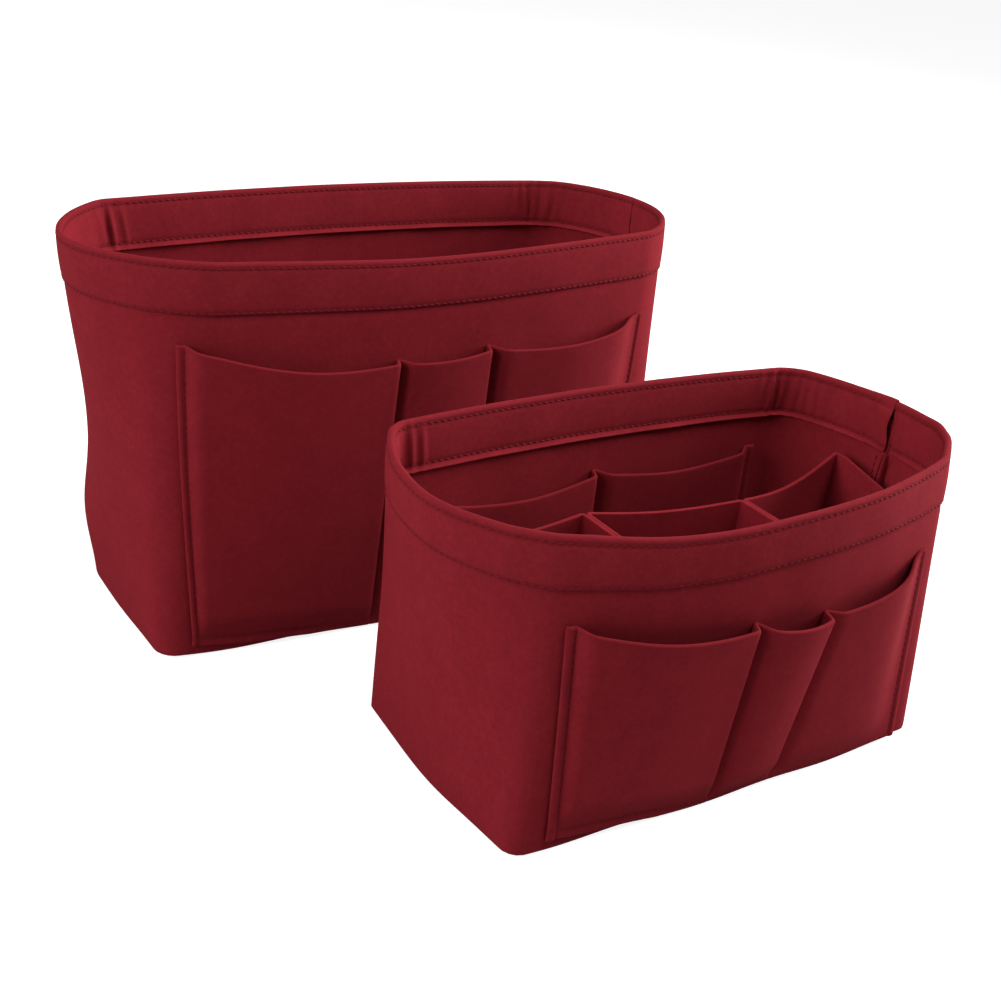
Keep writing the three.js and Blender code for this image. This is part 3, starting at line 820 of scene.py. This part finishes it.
def outer_panel(size, name, side):
    """The panel on the outside of the front or back wall."""
    keys = ("feet", "curve", "margin", "drops", "bulges", "sags", "flanks")
    return dict({key: size[key] for key in keys}, name=name, side=side, direction=1,
                bottom=POCKET_BOTTOM, fall=FOOT_FALL, tops=size["seams"])


def inner_panel(size, name, side):
    """The panel inside the back wall: its own seams, and nothing that slants, curves or falls."""
    return dict(name=name, side=side, direction=-1, bottom=INNER_POCKET_BOTTOM, fall=0,
                tops=size["inner_seams"], feet=size["inner_seams"], curve=0, margin=INNER_MARGIN,
                drops=size["inner_drops"], bulges=size["inner_bulges"], sags=size["inner_sags"],
                flanks=INNER_FLANKS)


def foot_stitch(panel, p):
    """Height of the stitches along the panel's foot, which fall across its first bay."""
    return panel["bottom"] + POCKET_STITCH_RISE - panel["fall"] * share(p)


def in_bay(panel, p):
    """The bay that p lies in, and how far along it."""
    n = np.clip(np.floor(p).astype(int), 0, len(panel["bulges"]) - 1)
    return n, p - n


def between_seams(panel, key, p):
    """A measure that the panel gives at each seam, mixed in the bays between them."""
    n, f = in_bay(panel, p)
    values = np.array(panel[key], float)
    return values[n] * (1 - f) + values[n + 1] * f


def pocket_place(panel, p, rise):
    """The place along the wall: the foot's and the top's place mixed by rise. The first seam also
    curves like half a sine."""
    at_foot, at_top = (between_seams(panel, key, p) for key in ("feet", "tops"))
    curved = panel["curve"] * share(1 - p) * np.sin(np.pi * rise)
    return at_foot * (1 - rise) + at_top * rise + curved


def pocket_mouth(size, panel, p):
    """The mouth's height: straight between the seams' tops, less a sag of half a sine."""
    n, f = in_bay(panel, p)
    sag = np.array(panel["sags"])[n] * np.sin(np.pi * f)
    return band_edge(size) - between_seams(panel, "drops", p) - sag


def pocket_bulge(size, panel, p, rise):
    """How far a bay stands off. It swells in a flank beside each seam, 1 - e^-(d/flank)^2 at a
    distance d, and then slowly like half a sine; it is rounded in just above the foot."""
    n, f = in_bay(panel, p)
    tops = np.array(panel["tops"], float)
    width = tops[n + 1] - tops[n]
    flanks = np.array(panel["flanks"], float)[n]
    near, far = flanks[..., 0], flanks[..., 1]
    flank = (1 - bump_line(f * width, near)) * (1 - bump_line((1 - f) * width, far))
    tall = pocket_mouth(size, panel, p) - foot_stitch(panel, p)
    foot = np.sin(np.pi / 2 * share(rise * tall / FOOT_ROUND)) ** FOOT_POWER
    across = flank * (1 - CROWN_SHARE + CROWN_SHARE * np.sin(np.pi * f))
    return np.array(panel["bulges"])[n] * across * foot * (FOOT_SHARE + (1 - FOOT_SHARE) * rise)


def pocket_point(size, panel, p, margin, h, rise, off):
    """A point off the wall's face on the panel, at p, and at a height or a share of the way up."""
    s = pocket_place(panel, p, rise) + margin
    n = WALL_FELT / 2 - POCKET_PRESSED + off + pocket_bulge(size, panel, p, rise)
    return wall(size, place_u(size, panel["side"], s), h, panel["direction"] * n)


# %% [markdown]
# The panel's grid has its stations close together at the seams, where it bends most. A seam presses
# the felt flat and is drawn darker, partly as painted shade in its groove, and the mouth's lip is
# drawn darker as painted shade.

# %% Panels as sheets
BAY_STATIONS = 60
EVEN_SHARE = 0.25
MARGIN_STEP = 0.8
POCKET_ROW = 2.2
MARGIN_PUFF = 0.5
LEAD_CLEAR = 0.1
CUT_BELOW = 5.0
LOWEST_CUT = 0.6
# The seam and mouth darkening below is painted shade: darker colour in the seams' grooves and along
# the mouth's lip.
SEAM_PRESS, FOOT_PRESS, MOUTH_SHADE_WIDTH = 1.3, 1.2, 1.6
SEAM_SHADE, MOUTH_SHADE = 0.75, 0.5
SEAM_SUNK = 0.15


def panel_stations(panel):
    """p and the place in the margin of each station; in a bay they follow a cosine and even steps."""
    bays = len(panel["bulges"])
    flat = spread(2 * panel["margin"], MARGIN_STEP, POCKET_FELT / 2)
    lead = flat[flat < panel["margin"] - LEAD_CLEAR]
    even = np.linspace(0, 1, BAY_STATIONS + 1)
    inside = (1 - EVEN_SHARE) * (1 - np.cos(np.pi * even)) / 2 + EVEN_SHARE * even
    p = np.concatenate([[0] * len(lead), *[n + inside[:-1] for n in range(bays)], [bays],
                        [bays] * len(lead)])
    margin = np.concatenate([lead - panel["margin"], [0] * (BAY_STATIONS * bays + 1),
                             (panel["margin"] - lead)[::-1]])
    return p, margin


def pocket_panel(size, panel, shift):
    """Stations run along the panel from cut edge to cut edge, rows from its foot to its mouth."""
    radius = POCKET_FELT / 2
    p, margin = panel_stations(panel)
    stitch = foot_stitch(panel, p)[:, None]
    cut = np.maximum(stitch - CUT_BELOW, LOWEST_CUT)
    mouth = pocket_mouth(size, panel, p)
    tall = float(np.mean(mouth - cut[:, 0]))
    rows = spread(tall, POCKET_ROW, radius)
    h = cut + (rows / tall) * (mouth[:, None] - cut)
    rise = share((h - stitch) / (mouth[:, None] - stitch))
    puff = MARGIN_PUFF * np.sin(np.pi * share(np.abs(margin) / panel["margin"]))[:, None]
    middle = pocket_point(size, panel, p[:, None], margin[:, None], h, rise, radius + puff)
    distance = run_along(middle[:, len(rows) // 2])
    half = radius * round_ends(distance, radius)[:, None] * round_ends(rows, radius)
    seams = [int(np.flatnonzero(np.abs(p - n) < TINY)[0 if n else -1])
             for n in range(len(panel["bulges"]) + 1)]
    nearest = np.min([np.abs(distance - distance[i]) for i in seams], axis=0)
    # Pressing sinks the felt at the seams and the foot; the same mask, scaled, is painted shade in
    # their grooves.
    pressed = np.maximum(bump_line(nearest, SEAM_PRESS)[:, None], bump_line(h - stitch, FOOT_PRESS))
    # Painted shade along the mouth's lip.
    painted_darkening = MOUTH_SHADE * bump_line(tall - rows, MOUTH_SHADE_WIDTH)
    middle -= SEAM_SUNK * (pressed * half / radius)[..., None] * directions(middle)
    felt_piece(size, panel["name"], "pocket_felt", shift, middle, half,
               (float(distance[-1]), tall), "hung",
               np.maximum(SEAM_SHADE * pressed, painted_darkening))


# %% [markdown]
# ## The divider strip
#
# Inside, one strip runs lengthwise. Twice it is folded to the front wall and back, and its ends turn
# to the front wall too, so three cells stand in front of one long compartment. Its line in plan is a
# polyline with rounded corners, worked out again at each height because the walls lean outwards; its
# top edge sags between the folds. Three loose dividers would be easier to make, but the real ones are
# one strip, and the double felt of its folds shows.

# %% Divider strip
FOLD_HALF = 0.95
FOLD_DROP = 4.0
FOLD_EDGE = 0.3
FOLD_RADIUS = 1.6
TIGHT_SHARE = 0.98
SIDE_CLEARANCE = 2.0
SIDE_DROP = 11.0
END_CLEARANCE = 1.0
ARC_POINTS = 9
DIVIDER_STEP = 1.2
DIVIDER_ROW = 2.6
DIVIDER_STATIONS = 520
FRONT_STATIONS = np.linspace(2.05, 3.95, 800)


def front_wall_y(size, x, h, off):
    """The y where the line off outside the front wall passes x, read off a row of points."""
    line = wall(size, FRONT_STATIONS, h, off)
    return float(np.interp(x, line[:, 0], line[:, 1]))


def rounded(corners, radii, step):
    """A polyline with each corner replaced by a circular arc, and long runs cut into steps."""
    corners = np.array(corners, float)
    path = [corners[0]]
    for before, corner, after, radius in zip(corners[:-2], corners[1:-1], corners[2:], radii):
        into = (corner - before) / np.linalg.norm(corner - before)
        out = (after - corner) / np.linalg.norm(after - corner)
        bend = math.acos(float(np.clip(into @ out, -1, 1)))
        cut = radius * math.tan(bend / 2)
        side = np.sign(into[0] * out[1] - into[1] * out[0])
        centre = corner - into * cut + side * radius * np.array([-into[1], into[0]])
        start = corner - into * cut - centre
        for turn_share in np.linspace(0, 1, ARC_POINTS):
            a = side * bend * turn_share
            path.append(centre + [start[0] * math.cos(a) - start[1] * math.sin(a),
                                  start[0] * math.sin(a) + start[1] * math.cos(a)])
    path.append(corners[-1])
    fine = [path[0]]
    for one, other in zip(path[:-1], path[1:]):
        pieces = max(1, round(float(np.linalg.norm(other - one)) / step))
        fine += [one + (other - one) * k / pieces for k in range(1, pieces + 1)]
    return np.array(fine)


def divider_corners(size, h):
    """The strip's corners in plan at height h, from its left end on the front wall to its right."""
    wall_side = -(WALL_FELT / 2 + GAP + POCKET_FELT / 2)
    inside = TURNED + GAP + SIDE_CLEARANCE + POCKET_FELT / 2
    right = float(mid_wall(size, 4.0, h)[0]) - inside
    left = float(mid_wall(size, 2.0, h)[0]) + inside
    line = size["divider_line"]
    left_y, right_y = (front_wall_y(size, x, h, wall_side) + END_CLEARANCE for x in (left, right))
    corners = [(left, left_y), (left, line[0])]
    for x, y in zip(size["folds"], line[1:3]):
        foot = front_wall_y(size, x, h, wall_side)
        before, after = x - FOLD_HALF, x + FOLD_HALF
        corners += [(before, y), (before, foot), (after, foot), (after, y)]
    corners += [(right, line[3]), (right, right_y)]
    tight = FOLD_HALF * TIGHT_SHARE
    radii = [FOLD_RADIUS] + [FOLD_RADIUS, tight, tight, FOLD_RADIUS] * 2 + [FOLD_RADIUS]
    return corners, radii


def divider_strip(size, shift):
    """Each row is the line in plan at its height, resampled so that all rows have equal stations."""
    peak = band_edge(size) - size["divider_drop"]
    low = FLOOR_FELT_TOP
    rows = spread(peak - low, DIVIDER_ROW, POCKET_FELT / 2)
    lines = []
    for height in low + rows:
        corners, radii = divider_corners(size, height)
        line = rounded(corners, radii, DIVIDER_STEP)
        lines.append((line, run_along(line)))
    length = lines[-1][1][-1]
    even = spread(length, length / DIVIDER_STATIONS, POCKET_FELT / 2) / length
    plan = np.stack([np.stack([np.interp(even * run[-1], run, line[:, k]) for k in (0, 1)], -1)
                     for line, run in lines], 1)
    legs = run_along(np.array(corners))[1:]
    stops = legs / legs[-1]
    sections = [(stops[0], stops[1]), (stops[4], stops[5]), (stops[8], stops[9])]
    sag = np.zeros(len(even))
    for depth, (start, stop) in zip(size["divider_sags"], sections):
        sag += depth * np.sin(np.pi * share((even - start) / (stop - start)))
    sag += FOLD_DROP * np.interp(even, (stops[0], stops[1], stops[8], stops[9]), (0, 1, 1, 0))
    side_share = share(1 - np.minimum(even, 1 - even) / stops[0])
    top = peak - sag - SIDE_DROP * side_share
    z = low + (rows / rows[-1]) * (top - low)[:, None]
    middle = np.concatenate([plan, z[..., None]], -1)
    to_end = round_ends(even * length, POCKET_FELT / 2)[:, None]
    half = POCKET_FELT / 2 * to_end * round_ends(rows, FOLD_EDGE)
    felt_piece(size, "divider_strip", "pocket_felt", shift, middle, half,
               (length, peak - low), "folded")


# %% [markdown]
# ## Stitches
#
# A lockstitch shows as a row of short dashes: the thread comes up, lies on the felt for a few
# millimetres and dives in again. Each dash is a spindle of five rings whose ends lie below the
# surface, with few faces, because there are thousands. A tube along the whole seam would be less work
# but would read as a cord.

# %% Stitches
STITCH_PITCH = 3.6
STITCH_LENGTH = 2.9
THREAD_RADIUS = 0.55
THREAD_FLAT = 0.8
TANGENT_REACH = 0.3
RING = 6
SPINDLE = ((0.0, 0.3, -0.6), (0.16, 0.85, -0.15), (0.5, 1.0, 0.0), (0.84, 0.85, -0.15),
           (1.0, 0.3, -0.6))


def stitches(name, line, up, size, shift):
    """Rings of thread along a line of points; up is the felt's direction at each of them. A ring's
    place, radius and depth follow the spindle's profile, and its points lie on an ellipse."""
    run = run_along(line)
    count = int((run[-1] - STITCH_LENGTH) // STITCH_PITCH) + 1
    spare = run[-1] - (count - 1) * STITCH_PITCH - STITCH_LENGTH
    start = np.arange(count) * STITCH_PITCH + spare / 2
    profile = np.array(SPINDLE)
    at = start[:, None] + STITCH_LENGTH * profile[None, :, 0]

    def along(values, where):
        return np.stack([np.interp(where, run, values[:, k]) for k in range(3)], -1)

    tangent = unit(along(line, at + TANGENT_REACH) - along(line, at - TANGENT_REACH))
    rise = unit(along(up, at))
    side = np.cross(tangent, rise)
    centre = along(line, at) + rise * profile[None, :, 2, None]
    radius = THREAD_RADIUS * profile[None, :, 1, None, None]
    angle = np.arange(RING) * 2 * np.pi / RING
    ring = (side[:, :, None] * np.cos(angle)[:, None]
            + THREAD_FLAT * rise[:, :, None] * np.sin(angle)[:, None])
    points = (centre[:, :, None] + radius * ring).reshape(-1, 3)
    index = np.arange(count * len(SPINDLE) * RING).reshape(count, len(SPINDLE), RING)
    beside = np.roll(index, -1, axis=2)
    walls = np.stack([index[:, :-1], beside[:, :-1], beside[:, 1:], index[:, 1:]], -1).reshape(-1, 4)
    faces = walls.tolist() + index[:, 0, ::-1].tolist() + index[:, -1].tolist()
    piece = mesh_piece(f"{size['name']}_{name}{LOOK}", points, faces, thread, shift)
    join_to_frame(piece, size)
    return count


def wall_stitches(size, name, u, h, n, shift):
    """A row of stitches on the wall's outside (n above zero) or inside."""
    face = wall(size, u, h, n)
    return stitches(name, face, face - wall(size, u, h, 0), size, shift)


# %% [markdown]
# ## Seams of one organizer
#
# The binding has two rows, each seen on both faces. A pocket panel is sewn in one line down its
# side, along its foot and up the other side, and along each seam between two bays. The bottom panel
# is sewn in all round, and the two turned ends of the wall band are sewn to each other.

# %% Seams
ROUND_POINTS, FOOT_POINTS, UPRIGHT_POINTS, CLOSING_POINTS = 1200, 400, 80, 100
BINDING_SEAM = (0.004, 3.996)
BASE_SEAM = (0.03, 3.97)
BASE_SEAM_RISE = 0.65
THREAD_OUT = 0.1
THREAD_SUNK = 0.2
BELOW_MOUTH = 1.5
ABOVE_FOOT = 1.0
CLOSING_END = 1
CLOSING_PLACE = 2 / 3


def binding_seams(size, shift):
    """Both rows on both faces, from just past the slit and round again."""
    u = np.linspace(*BINDING_SEAM, ROUND_POINTS)
    count = 0
    for row, h in (("top", size["height"] - size["top_row"]),
                   ("lower", band_edge(size) + LOWER_STITCH_RISE)):
        face = float(binding_offset(size, h)) + TRIM_FELT / 2
        count += wall_stitches(size, f"rim_{row}_stitch_outside", u, h, face, shift)
        count += wall_stitches(size, f"rim_{row}_stitch_inside", u, h, -face, shift)
    return count


def panel_seams(size, panel, shift):
    """The panel's outline and the seams between its bays."""
    bays = len(panel["bulges"])
    steps = np.linspace(0, 1, UPRIGHT_POINTS)

    def sewn(name, p, h):
        stitch = foot_stitch(panel, p)
        rise = share((h - stitch) / (pocket_mouth(size, panel, p) - stitch))
        face = pocket_point(size, panel, p, 0, h, rise, POCKET_FELT - THREAD_SUNK)
        up = face - pocket_point(size, panel, p, 0, h, rise, 0)
        return stitches(f"{panel['name']}_{name}", face, up, size, shift)

    def upright(p):
        top = float(pocket_mouth(size, panel, np.array(float(p)))) - BELOW_MOUTH
        stitch = foot_stitch(panel, p)
        return np.full(UPRIGHT_POINTS, float(p)), stitch + (top - stitch) * steps

    first_p, first_h = upright(0)
    last_p, last_h = upright(bays)
    foot_p = np.linspace(0, bays, FOOT_POINTS)
    p = np.concatenate([first_p[:0:-1], foot_p, last_p[1:]])
    h = np.concatenate([first_h[:0:-1], foot_stitch(panel, foot_p), last_h[1:]])
    count = sewn("edge_stitch", p, h)
    for n in range(1, bays):
        seam_p, seam_h = upright(n)
        count += sewn(f"seam_{n}", seam_p, seam_h + ABOVE_FOOT * (1 - steps))
    return count


def base_seam(size, shift):
    """Along the foot of the wall, just above the bottom panel."""
    u = np.linspace(*BASE_SEAM, ROUND_POINTS)
    inner_face = -(WALL_FELT / 2 + THREAD_OUT)
    return wall_stitches(size, "base_seam", u, WALL_FELT + BASE_SEAM_RISE, inner_face, shift)


def closing_seam(size, shift):
    """Up the face of the turned ends, two thirds of the allowance from the wall."""
    top = band_edge(size) - BAND_FREE_EDGE
    h = np.linspace(FLOOR_FELT_TOP + CLOSING_END, top - CLOSING_END, CLOSING_POINTS)
    line = mid_wall(size, 0.0, h)
    line[:, 0] -= WALL_FELT / 2 + SEAM_ALLOWANCE * CLOSING_PLACE
    line[:, 2] += foot_lift(0.0, h)
    line[:, 1] = GAP / 2 + WALL_FELT + THREAD_OUT / 2
    return stitches("closing_seam", line, np.tile([0.0, 1.0, 0.0], (CLOSING_POINTS, 1)), size, shift)


# %% Make both organizers
for size in (SMALL, LARGE):
    shift = base_centre(size["name"])
    wall_band(size, shift)
    bottom_panel(size, shift)
    binding(size, shift)
    divider_strip(size, shift)
    sewn = binding_seams(size, shift) + base_seam(size, shift) + closing_seam(size, shift)
    for panel in (outer_panel(size, "front_pocket", FRONT), outer_panel(size, "back_pocket", BACK),
                  inner_panel(size, "inner_pocket", BACK)):
        pocket_panel(size, panel, shift)
        sewn += panel_seams(size, panel, shift)
    print(size["name"], "stitches:", sewn)

# %% [markdown]
# ## Floor and light
#
# The organizers stand on a white surface that runs out of sight. A plain white floor would turn grey,
# so it adds a little light that only the camera sees, and still takes their shadow, which a cut-out
# background would lose. The lamps are large and soft: the left one makes the end walls lighter than
# the fronts, the right one grazes the fronts, the front one stands high and reaches into the boxes,
# and a weak one stands behind. A little light comes from all sides.

# %% Floor
FLOOR_SIZE = 14.0
FLOOR_BELOW = 0.0004
FLOOR_GLOW = 0.88


def white_floor():
    """A white diffuse floor plus white light for camera rays alone."""
    material, tree = empty_material("white_paper")
    paper = add(tree, "BsdfDiffuse", {"Color": linear("#acacac")})
    camera_ray = add(tree, "LightPath").outputs["Is Camera Ray"]
    strength = add(tree, "Math", {0: camera_ray, 1: FLOOR_GLOW}, operation="MULTIPLY")
    glow = add(tree, "Emission", {"Strength": strength.outputs[0]})
    both = add(tree, "AddShader", {0: paper.outputs[0], 1: glow.outputs[0]})
    add(tree, "OutputMaterial", {"Surface": both.outputs[0]})
    half = FLOOR_SIZE / 2
    corners = np.array([(-half, -half, 0), (half, -half, 0), (half, half, 0), (-half, half, 0)]) / MM
    floor = mesh_piece("floor", corners, [(0, 1, 2, 3)], material, np.array([0, 0, -FLOOR_BELOW]))


white_floor()

# %% Light
ALL_ROUND = 0.112
LAMP_WIDTH = 1.0

world = bpy.data.worlds.new("studio")
bpy.context.scene.world = world
world.use_nodes = True
world.node_tree.nodes.clear()
path = add(world.node_tree, "LightPath").outputs
seen = add(world.node_tree, "MapRange",
           {"Value": path["Is Camera Ray"], "To Min": ALL_ROUND, "To Max": 1.0})
air = add(world.node_tree, "Background",
          {"Color": linear("#ffffff"), "Strength": seen.outputs[0]})
add(world.node_tree, "OutputWorld", {"Surface": air.outputs[0]})


def lamp(name, power, spot):
    """A square area lamp that looks at the middle of the set."""
    data = bpy.data.lights.new(name, "AREA")
    data.energy = power
    data.size = LAMP_WIDTH
    item = new_object(name, data)
    item.location = spot
    item.rotation_euler = (-Vector(spot)).to_track_quat("-Z", "Y").to_euler()


lamp("left_lamp", 26.0, (-1.72, 0.0, 0.80))
lamp("right_lamp", 56.0, (1.69, -0.30, 0.80))
lamp("front_lamp", 25.0, (0.44, -0.62, 1.75))
lamp("back_lamp", 9.0, (-0.95, 0.95, 1.34))
bpy.context.scene.view_settings.view_transform = "Standard"
